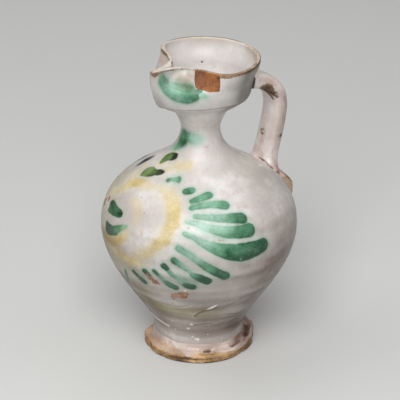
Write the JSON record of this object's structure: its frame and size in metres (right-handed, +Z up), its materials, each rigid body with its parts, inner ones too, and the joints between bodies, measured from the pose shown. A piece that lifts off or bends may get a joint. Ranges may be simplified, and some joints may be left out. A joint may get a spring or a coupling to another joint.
{
  "type": "maiolica jug",
  "caption": "Globular glazed pottery jug on a luted disc foot, with a narrow neck, a collar mouth pinched into a closed beak, and a strap handle from mouth to shoulder.",
  "frame": {"origin": "centre of the foot's flat underside", "axes": "+Z up the jug's axis, -X towards the handle, +X towards the pinched beak"},
  "size_m": [0.1858, 0.184, 0.29],
  "materials": {
    "tin_glaze": "glossy off-white tin glaze with a pinkish grey tint, painted in green, ochre and dark green strokes, worn to the clay at the rim",
    "bare_clay": "matt tan earthenware, rough and stained, with spots of glaze"
  },
  "bodies": {
    "root": {"foot_disc": "bare_clay", "body_globe": "tin_glaze", "neck_funnel": "tin_glaze", "mouth_collar": "tin_glaze", "handle_strap": "tin_glaze", "handle_tail": "bare_clay"}
  },
  "joints": []
}
